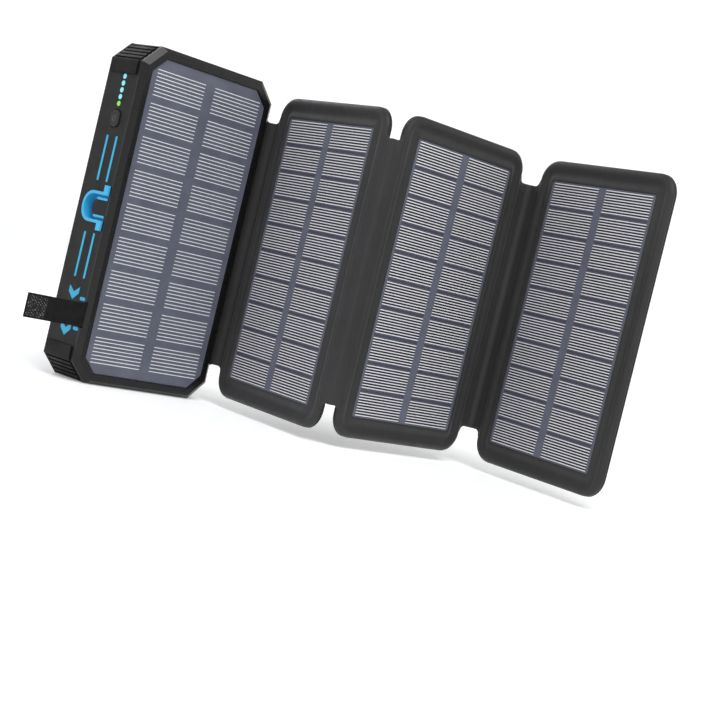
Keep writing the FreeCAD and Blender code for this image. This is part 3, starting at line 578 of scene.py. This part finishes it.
def front_free(point):
    """The padded crown of the rim may swell; the window's edge, the outer edge and the seam may not."""
    inset = PANEL_L / 2 - abs(point.z - PANEL_Z)
    inset = min(inset, (PANEL_W / 2 - abs(point.x - FOLD_PITCH / 2)) / SIDE_MARGIN)
    if point.y > CROWN_BACK or not CROWN[0] < inset < CROWN[1]:
        return 0.0
    return math.sin(math.pi * (inset - CROWN[0]) / (CROWN[1] - CROWN[0]))


def rear_free(point):
    """The back may swell inside its edge channel."""
    inset = min(PANEL_L / 2 - abs(point.z - PANEL_Z), PANEL_W / 2 - abs(point.x - FOLD_PITCH / 2))
    if point.y < REAR_FRONT or inset < REAR_FROM:
        return 0.0
    return min(1.0, (inset - REAR_FROM) / REAR_EASE)


for number in (1, 2, 3):
    body = "panel_%d" % number
    for part, name, profile, free, swell, padding in (
            ("front", "front_cover", FRONT_PROFILE, front_free, FRONT_SWELL, 0.5),
            ("back", "rear_cover", REAR_PROFILE, rear_free, REAR_SWELL, 0.35)):
        piece = cover(name, profile, part == "front")
        inflate(piece, free, swell)
        bake_place(piece, panel_matrix(number))
        piece.name = "%s_%s_cover" % (body, part)
        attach(paint(piece, "leather"), body)
        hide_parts("%s_%s" % (body, part))


# ---- leather flaps across the folds ----
FLAP_T = 1.5
FLAP_FILLET = 3.0        # where a flap widens into the rim it goes under
FLAP_BEHIND = 0.9        # middle of the flap behind the laminates
FLAP_ROWS = 48           # steps along each face of a flap
PATH_STEPS = 10          # steps between two corners of its path


def smooth_path(corners, steps):
    """A uniform B-spline through a few given corners, in X and Y."""
    pts = [corners[0]] + list(corners) + [corners[-1]]
    path = []
    for i in range(len(pts) - 3):
        a, b, c, d = pts[i:i + 4]
        for k in range(steps):
            t = k / steps
            w = ((1 - t) ** 3, 3 * t ** 3 - 6 * t ** 2 + 4, -3 * t ** 3 + 3 * t ** 2 + 3 * t + 1, t ** 3)
            path.append(tuple(sum(f * p[j] for f, p in zip(w, (a, b, c, d))) / 6.0 for j in (0, 1)))
    path.append(tuple(corners[-1]))
    return path


def flap_ring(half_l):
    """A flap's section as (along the fold, through the leather) pairs: flat faces and round ends."""
    half_t = FLAP_T / 2
    end = [(-half_l + half_t * (1 - math.cos(a)), -half_t * math.sin(a))
           for a in [math.pi * k / 12 for k in range(6)]]
    rows = [-half_l + half_t + (2 * half_l - 2 * half_t) * k / FLAP_ROWS for k in range(FLAP_ROWS + 1)]
    ring = end + [(z, -half_t) for z in rows]
    ring += [(-z, t) for z, t in reversed(end)]
    ring += [(-z, -t) for z, t in end[1:]]
    ring += [(z, half_t) for z in reversed(rows)]
    ring += [(z, -t) for z, t in reversed(end[1:])]
    return ring


def flap(name, corners, edges, nodes):
    """A soft strip along a path. edges are the two places where it goes under a panel's rim."""
    path = smooth_path(corners, PATH_STEPS)
    lengths = [0.0]
    for a, b in zip(path, path[1:]):
        lengths.append(lengths[-1] + math.dist(a, b))
    at_edge = []
    for edge in edges:
        nearest = min(range(len(path)), key=lambda i: math.dist(path[i], edge))
        at_edge.append(lengths[nearest])
    sections = []
    for i, (x, y) in enumerate(path):
        along = heading_at(path, i)
        inside = min(lengths[i] - at_edge[0], at_edge[1] - lengths[i])
        rise = 0.0
        if inside < FLAP_FILLET:
            gap = min(FLAP_FILLET, FLAP_FILLET - inside)
            rise = FLAP_FILLET - math.sqrt(max(0.0, FLAP_FILLET ** 2 - gap ** 2))
        sections.append([(x + along.y * t, y - along.x * t, PANEL_Z + z)
                         for z, t in flap_ring(FLAP_HALF_L + rise)])
    piece = tube(name, sections)
    paint(piece, "leather")
    for node in nodes:
        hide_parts(node)
    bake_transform(piece)


def panel_point(number, s, y=FLAP_BEHIND):
    """A point of a panel's own frame, in the row frame's X and Y, in millimetres."""
    p = panel_matrix(number) @ Vector((s * MM, y * MM, 0.0))
    return (p.x / MM, p.y / MM)


EDGE_S = (FOLD_PITCH - PANEL_W) / 2          # a panel's edge, from its first fold line
FAR_S = FOLD_PITCH - EDGE_S
UNDER = 2.1                                  # how far a flap reaches under a rim
FLAP_TURN = 5.2                              # a flap's corner, from the panel's edge
# the first flap runs forward along the body's wall and turns towards the first panel
WALL_PATH = [(41.45, -2.0), (41.45, -5.0), (41.5, -8.0), (42.2, -11.0), (43.4, -13.6)]
WALL_EDGE = (41.5, -8.5)
flap("fold_1_flap",
     WALL_PATH + [panel_point(1, EDGE_S + s) for s in (-1.0, 1.0, UNDER)],
     [WALL_EDGE, panel_point(1, EDGE_S)], ["hinge_strip"])
for number in (1, 2):
    flap("fold_%d_flap" % (number + 1),
         [panel_point(number, FAR_S + s) for s in (-UNDER, -1.0, 1.0, 3.0, FLAP_TURN)]
         + [panel_point(number + 1, EDGE_S + s) for s in (-FLAP_TURN, -3.0, -1.0, 1.0, UNDER)],
         [panel_point(number, FAR_S), panel_point(number + 1, EDGE_S)],
         [])


# ---- side strap ----
STRAP_W, STRAP_T = 11.1, 1.4
STRAP_DEPTH = 1.7
STRAP_Z = MID - 48.05
STRAP_Y = y_at(STRAP_DEPTH)
STRAP_END = -72.0
STRAP_CUTS = (-38.0, -45.9, -55.2, STRAP_END)
STRAP_STEP = 0.7
TIP_ROUND = 1.0          # the end thins over this length
TIP_THIN = 0.35          # to this share of the thickness
FACE_STEPS = 14
SELVEDGE_STEPS = 8
# the bodies each tape lies between, and the nodes it stands for
STRAP_TAPES = (
    (("housing", "strap_1"), ("strap_root", "strap_base")),
    (("strap_1", "strap_2"), ("strap_middle",)),
    (("strap_2", "strap_3"), ("strap_tip",)),
)


def strap_ring(x, half_t, half_w):
    """The webbing's cross section: flat faces and rounded selvedges."""
    ring = []
    for k in range(FACE_STEPS + 1):
        z = -half_w + half_t + (2 * half_w - 2 * half_t) * k / FACE_STEPS
        ring.append((x, STRAP_Y - half_t, STRAP_Z + z))
    for k in range(1, SELVEDGE_STEPS):
        a = math.pi * k / SELVEDGE_STEPS
        ring.append((x, STRAP_Y - half_t * math.cos(a), STRAP_Z + half_w - half_t + half_t * math.sin(a)))
    for k in range(FACE_STEPS + 1):
        z = half_w - half_t - (2 * half_w - 2 * half_t) * k / FACE_STEPS
        ring.append((x, STRAP_Y + half_t, STRAP_Z + z))
    for k in range(1, SELVEDGE_STEPS):
        a = math.pi * k / SELVEDGE_STEPS
        ring.append((x, STRAP_Y + half_t * math.cos(a), STRAP_Z - half_w + half_t - half_t * math.sin(a)))
    return ring


def add_strap_uv(piece):
    """U along the strap and V round it, in metres, so that the weave bends with it."""
    layer = piece.data.uv_layers.new(name="UVMap")
    for loop in piece.data.loops:
        co = piece.data.vertices[loop.vertex_index].co
        side = 1.0 if co.y < STRAP_Y * MM else 2.0
        layer.data[loop.index].uv = (-co.x, co.z + side)


for i, (bodies, nodes) in enumerate(STRAP_TAPES):
    a, b = STRAP_CUTS[i], STRAP_CUTS[i + 1]
    steps = max(6, round(abs(b - a) / STRAP_STEP))
    sections = []
    for k in range(steps + 1):
        x = a + (b - a) * k / steps
        half_t = STRAP_T / 2
        if b == STRAP_END and x - b < TIP_ROUND:
            half_t *= max(TIP_THIN, math.sqrt(1 - (1 - (x - b) / TIP_ROUND) ** 2))
        sections.append(strap_ring(x, half_t, STRAP_W / 2))
    piece = tube("strap_tape_%d" % (i + 1), sections)
    add_strap_uv(piece)
    paint(piece, "webbing")
    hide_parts(*nodes)
    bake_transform(piece)


# ---- flat charging cables ----
LANES = [18.2 - 11.7 * i for i in range(4)]
LEAD_W, LEAD_T = 4.8, 2.0
LEAD_DEPTH = BACK - 0.6 - LEAD_T / 2
LEAD_LOW = 0.5 + LEAD_T / 2                  # height of the lead's middle in the bottom end's groove
LEAD_BEND = 2.3                              # radius of its turn round the edge
LEAD_TOP = MID - 26.1                        # its end, inside the plug
LEAD_ROOT_DEPTHS = (16.4, 18.5)
FINE_TO, FINE_STEP = 14.0, 0.8               # short steps up to this height, where the lead bends
GROOVE, GROOVE_LIP = 0.22, 0.05


def lead_section(x, centre, normal):
    """A flat cable's outline: two flat faces, round edges and a shallow groove down the middle."""
    half_w, half_t = LEAD_W / 2, LEAD_T / 2
    flat = half_w - half_t
    spans = [-1.0, -0.6, -0.25, 0.0, 0.25, 0.6, 1.0]
    dips = [0.0, 0.0, GROOVE_LIP, GROOVE, GROOVE_LIP, 0.0, 0.0]
    angles = [math.pi * k / 8 for k in range(1, 8)]
    outline = [(flat * s, half_t - dip) for s, dip in zip(spans, dips)]
    outline += [(flat + half_t * math.sin(a), half_t * math.cos(a)) for a in angles]
    outline += [(-flat * s, -half_t) for s in spans]
    outline += [(-flat - half_t * math.sin(a), -half_t * math.cos(a)) for a in angles]
    return [(x + across, centre[0] + normal[0] * out, centre[1] + normal[1] * out)
            for across, out in outline]


def lead_path():
    """Y and Z of a cable's middle line, out of the bottom end, round the edge and up its channel."""
    back = y_at(LEAD_DEPTH)
    line = [(y_at(depth), LEAD_LOW) for depth in LEAD_ROOT_DEPTHS] + [(back - LEAD_BEND, LEAD_LOW)]
    line += [(back - LEAD_BEND + LEAD_BEND * math.sin(a), LEAD_LOW + LEAD_BEND - LEAD_BEND * math.cos(a))
             for a in [math.pi / 2 * k / 8 for k in range(1, 9)]]
    z = LEAD_LOW + LEAD_BEND
    while z < FINE_TO:
        z += FINE_STEP
        line.append((back, z))
    line += [(back, z + (LEAD_TOP - z) * k / 14) for k in range(1, 15)]
    return line


path = lead_path()
for i, x in enumerate(LANES):
    sections = []
    for k, centre in enumerate(path):
        along = heading_at(path, k)
        sections.append(lead_section(x, centre, (along.y, -along.x)))
    name = "cable_%d" % (i + 1)
    piece = paint(tube("%s_lead" % name, sections), "jacket")
    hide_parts("lead_%d" % (i + 1))
    if i == 0:
        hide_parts("lead_roots")
    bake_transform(piece)


# ---- knurled grips ----
GRIP_PAD = [(28.9, -33.7), (38.3, -47.6), (39.3, -47.6), (39.3, 47.6), (38.3, 47.6), (28.9, 33.7)]
CORNER_PAD = [(28.6, 46.4), (30.6, 45.2), (35.2, 50.6), (35.2, 61.2), (30.6, 65.4), (28.6, 64.0)]
PAD_SINK = 0.8
GRIP_PROUD, CORNER_PROUD = 0.25, 0.15
KNURL_PITCH, KNURL_HEIGHT = 1.75, 0.32
KNURL_STEPS = 4          # grid steps across one tuft
HOOK_PITCH, HOOK_HEIGHT = 1.1, 0.3
HOOK_PROUD = 0.2         # and as deep into the webbing
PATCH_HALF, PATCH_NOSE_HALF = 4.7, 2.0
PATCH_LOW, PATCH_HIGH, PATCH_NOSE = STRAP_END + 0.5, STRAP_END + 10.2, STRAP_END + 10.9
PATCH = [(PATCH_LOW, STRAP_Z - PATCH_HALF), (PATCH_LOW, STRAP_Z + PATCH_HALF),
         (PATCH_HIGH, STRAP_Z + PATCH_HALF), (PATCH_NOSE, STRAP_Z + PATCH_NOSE_HALF),
         (PATCH_NOSE, STRAP_Z - PATCH_NOSE_HALF), (PATCH_HIGH, STRAP_Z - PATCH_HALF)]


def mirrored(points, side_x, side_z):
    return [(side_x * a, MID + side_z * b) for a, b in points]


def knurled(name, outline, low_depth, top_depth, pitch=KNURL_PITCH, tall=KNURL_HEIGHT):
    """A pad with crossing rows of small rounded tufts, cut to a convex outline."""
    outwards = 1.0 if top_depth > low_depth else -1.0
    centre = Vector((sum(p[0] for p in outline), sum(p[1] for p in outline))) / len(outline)
    reach = max((Vector(p) - centre).length for p in outline) + pitch
    step = pitch / KNURL_STEPS
    count = int(reach / step) + 1
    build = bmesh.new()
    grid = {}
    diagonal = math.sqrt(0.5)
    margin = 1.0
    x_low, x_high = min(p[0] for p in outline) - margin, max(p[0] for p in outline) + margin
    z_low, z_high = min(p[1] for p in outline) - margin, max(p[1] for p in outline) + margin
    for i in range(-count, count + 1):
        for j in range(-count, count + 1):
            x, z = centre.x + (i - j) * step * diagonal, centre.y + (i + j) * step * diagonal
            if not (x_low < x < x_high and z_low < z < z_high):
                continue
            a = 0.5 - 0.5 * math.cos(2 * math.pi * i / KNURL_STEPS)
            b = 0.5 - 0.5 * math.cos(2 * math.pi * j / KNURL_STEPS)
            depth = top_depth - outwards * tall * (1.0 - math.sqrt(a * b))
            grid[i, j] = build.verts.new((x * MM, y_at(depth) * MM, z * MM))
    for (i, j) in grid:
        ring = [grid.get(k) for k in ((i, j), (i + 1, j), (i + 1, j + 1), (i, j + 1))]
        if all(ring):
            build.faces.new(ring)
    # cut along each side of the outline
    for k, here in enumerate(outline):
        following = outline[(k + 1) % len(outline)]
        along = Vector((following[0] - here[0], 0.0, following[1] - here[1]))
        normal = Vector((along.z, 0.0, -along.x)).normalized()
        if normal.dot(Vector((here[0] - centre.x, 0.0, here[1] - centre.y))) < 0:
            normal.negate()
        everything = build.verts[:] + build.edges[:] + build.faces[:]
        bmesh.ops.bisect_plane(build, geom=everything, plane_co=(here[0] * MM, 0.0, here[1] * MM),
                               plane_no=normal, clear_outer=True, dist=1e-7)
    # skirt down to the low depth, and a flat floor
    rim = [e for e in build.edges if e.is_boundary]
    made = bmesh.ops.extrude_edge_only(build, edges=rim)["geom"]
    for v in made:
        if isinstance(v, bmesh.types.BMVert):
            v.co.y = y_at(low_depth) * MM
    bmesh.ops.holes_fill(build, edges=[e for e in build.edges if e.is_boundary], sides=0)
    bmesh.ops.recalc_face_normals(build, faces=build.faces)
    mesh = bpy.data.meshes.new(name)
    build.to_mesh(mesh)
    build.free()
    for face in mesh.polygons:
        face.use_smooth = abs(face.normal.y) > 0.3
    piece = bpy.data.objects.new(name, mesh)
    bpy.context.scene.collection.objects.link(piece)
    return piece


# the hook patch on both faces of the strap's end
for face, side in (("front", -1.0), ("back", 1.0)):
    inside = STRAP_DEPTH + side * (STRAP_T / 2 - HOOK_PROUD)
    outside = STRAP_DEPTH + side * (STRAP_T / 2 + HOOK_PROUD)
    patch = knurled("strap_hooks_%s" % face, PATCH, inside, outside, HOOK_PITCH, HOOK_HEIGHT)
    paint(patch, "hooks")
    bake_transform(patch)

for side_x, side in ((1, "right"), (-1, "left")):
    pad = knurled("grip_%s" % side, mirrored(GRIP_PAD, side_x, 1), BACK - PAD_SINK, BACK + GRIP_PROUD)
    paint(pad, "bumper")
    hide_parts("grip_pad_%s" % side)
    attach(pad, "housing")
for i, (side_x, side_z) in enumerate(((1, 1), (-1, 1), (1, -1), (-1, -1))):
    pad = knurled("corner_pad_%d" % (i + 1), mirrored(CORNER_PAD, side_x, side_z), BACK - PAD_SINK,
                  BACK + CORNER_PROUD)
    paint(pad, "bumper")
    if i == 0:
        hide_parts("corner_pads")
    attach(pad, "housing")


# ---- generic marks ----
MARK_Y = (y_at(BACK - 0.05), y_at(BACK + 0.03))
LABEL_X = 0.8            # middle of the label field; seen from behind, X falls to the right
TITLE = [5.2, 2.0, 5.6, 2.0, 5.2, 2.0, 4.4]      # bars and the gaps between them
TITLE_X, TITLE_Z = LABEL_X + 14.6, (MID + 42.6, MID + 44.9)
ROWS = [(3.2, 4.6, 6.0), (5.1, 3.0, 7.4, 2.6), (4.4, 8.6, 3.3), (6.2, 2.4, 5.0),
        (3.6, 6.8, 4.1, 3.2), (7.0, 5.5), (2.8, 4.9, 6.6, 2.2)]
ROW_TOP, ROW_PITCH, ROW_HALF = MID + 38.6, 2.75, 0.45
RUN_GAP = 1.0

# plain bars stand in for the printed lines of the rating label
marks = []
x = TITLE_X
for k, run in enumerate(TITLE):
    if k % 2 == 0:
        marks.append(((x - run, x), MARK_Y, TITLE_Z))
    x -= run
for row, runs in enumerate(ROWS):
    z = ROW_TOP - ROW_PITCH * row
    x = LABEL_X + (sum(runs) + RUN_GAP * (len(runs) - 1)) / 2
    for run in runs:
        marks.append(((x - run, x), MARK_Y, (z - ROW_HALF, z + ROW_HALF)))
        x -= run + RUN_GAP
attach(paint(boxes("label_bars", marks), "mark"), "housing")


def flat_shape(name, outlines, y_low, y_high):
    """Thin raised shapes from closed outlines in X and Z."""
    points, faces = [], []
    for outline in outlines:
        n, count = len(points), len(outline)
        points += [(x, y_low, z) for x, z in outline] + [(x, y_high, z) for x, z in outline]
        faces += ring_faces(n, count, n + count)
        faces += [tuple(reversed(range(n, n + count))), tuple(range(n + count, n + 2 * count))]
    return mesh_piece(name, points, faces, False)


def ring_pieces(cx, cz, radius, width, start=0.0, sweep=360.0, pieces=24):
    """A stroked circle or arc as short four-sided blocks."""
    shapes = []
    for k in range(pieces):
        a, b = (math.radians(start + sweep * (k + d) / pieces) for d in (0, 1))
        shapes.append([(cx + r * math.cos(t), cz + r * math.sin(t)) for r, t in
                       ((radius - width / 2, a), (radius + width / 2, a), (radius + width / 2, b),
                        (radius - width / 2, b))])
    return shapes


def stroke(x0, z0, x1, z1, width):
    along = Vector((x1 - x0, z1 - z0)).normalized() * (width / 2)
    side = Vector((-along.y, along.x))
    return [(x0 - side.x, z0 - side.y), (x1 - side.x, z1 - side.y), (x1 + side.x, z1 + side.y),
            (x0 + side.x, z0 + side.y)]


# a sun, a battery, a bolt and a power sign stand in for the row of printed marks
ICON_Z = MID + 15.2
LINE = 0.4
SUN_X, BOLT_X, POWER_X = LABEL_X + 9.5, LABEL_X - 6.2, LABEL_X - 11.2
RAY_FROM, RAY_TO = 1.9, 2.7
BATTERY = [(4.3, 1.3, -0.5, 1.3, LINE), (4.3, -1.3, -0.5, -1.3, LINE), (4.3, -1.5, 4.3, 1.5, LINE),
           (-0.5, -1.5, -0.5, 1.5, LINE), (-1.1, -0.6, -1.1, 0.6, 0.5), (3.4, -0.7, 3.4, 0.7, 0.7),
           (2.2, -0.7, 2.2, 0.7, 0.7)]
BOLT = [(0.5, 2.4), (-1.3, -0.3), (-0.15, -0.3), (-0.6, -2.4), (1.3, 0.5), (0.15, 0.5)]
icons = ring_pieces(SUN_X, ICON_Z, 1.3, 0.42)
for k in range(8):
    across, up = math.cos(math.radians(45.0 * k)), math.sin(math.radians(45.0 * k))
    icons.append(stroke(SUN_X + RAY_FROM * across, ICON_Z + RAY_FROM * up,
                        SUN_X + RAY_TO * across, ICON_Z + RAY_TO * up, LINE))
icons += [stroke(LABEL_X + x0, ICON_Z + z0, LABEL_X + x1, ICON_Z + z1, width)
          for x0, z0, x1, z1, width in BATTERY]
icons.append([(BOLT_X - a, ICON_Z + b) for a, b in BOLT])
icons += ring_pieces(POWER_X, ICON_Z, 1.9, LINE)
icons.append(stroke(POWER_X, ICON_Z - 0.1, POWER_X, ICON_Z + 1.1, LINE))
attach(paint(flat_shape("label_icons", icons, *MARK_Y), "mark"), "housing")

# the power symbol is drawn upright in Y and Z, then laid on the button's cap
SYMBOL_Y, SYMBOL_Z = y_at(11.4), MID + 42.0
SYMBOL_LINE = 0.26
CAP_X = WALL_X - 0.7
symbol = ring_pieces(SYMBOL_Y, SYMBOL_Z, 1.15, SYMBOL_LINE, 125.0, 290.0, 18)
symbol.append(stroke(SYMBOL_Y, SYMBOL_Z + 0.4, SYMBOL_Y, SYMBOL_Z + 1.6, SYMBOL_LINE))
piece = flat_shape("power_symbol", symbol, -0.04, 0.05)
for vertex in piece.data.vertices:
    across, out, z = vertex.co
    vertex.co = (CAP_X * MM - out, across, z)
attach(paint(piece, "symbol"), "button")


# ---- small pins in the side wall ----
PIN_DEPTH = 6.4
# radius, and how far out of the wall
PIN_PROFILE = [(0.5, -0.3), (0.52, 0.03), (0.44, 0.06), (0.3, -0.02), (0.12, -0.08)]
PIN_SIDES = 16


def pin_head(y, z):
    """A shallow dished head, almost flush."""
    turns = [2 * math.pi * k / PIN_SIDES for k in range(PIN_SIDES)]
    return [[(WALL_X - out, y + radius * math.cos(a), z + radius * math.sin(a)) for a in turns]
            for radius, out in PIN_PROFILE]


for i, z in enumerate((MID + 60.2, MID - 60.2)):
    pin = tube("wall_pin_%d" % (i + 1), pin_head(y_at(PIN_DEPTH), z))
    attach(paint(pin, "pin"), "housing")


# ---- floor ----
FLOOR_X, FLOOR_Y, FLOOR_Z = 20.0, -60.0, -0.3
# radius, and how far the floor has risen there
FLOOR_PROFILE = [(600.0, 0.0), (1400.0, 0.0), (2600.0, 10.0), (3800.0, 160.0), (5000.0, 700.0),
                 (5600.0, 1800.0)]
FLOOR_SIDES = 72


def studio_floor():
    """A pale sweep: a wide disc that rises gently far from the object."""
    points = [(FLOOR_X, FLOOR_Y, FLOOR_Z)]
    for radius, rise in FLOOR_PROFILE:
        points += [(FLOOR_X + radius * math.cos(2 * math.pi * k / FLOOR_SIDES),
                    FLOOR_Y + radius * math.sin(2 * math.pi * k / FLOOR_SIDES), FLOOR_Z + rise)
                   for k in range(FLOOR_SIDES)]
    faces = [(0, 1 + k, 1 + (k + 1) % FLOOR_SIDES) for k in range(FLOOR_SIDES)]
    for i in range(len(FLOOR_PROFILE) - 1):
        faces += ring_faces(1 + i * FLOOR_SIDES, FLOOR_SIDES, 1 + (i + 1) * FLOOR_SIDES)
    floor = mesh_piece("studio_floor", points, faces)
    f = Finish("floor_finish")
    f.tint(f.noise(6.0, 2.0), (244, 245, 246), 0.01)
    f.rough(f.noise(20.0, 2.0), 0.6, 0.7)
    f.relief(f.noise(60.0, 2.0), 0.02, 0.0005)
    f.sockets(Emission_Color=WHITE, Emission_Strength=0.22)
    floor.data.materials.append(f.material)


studio_floor()
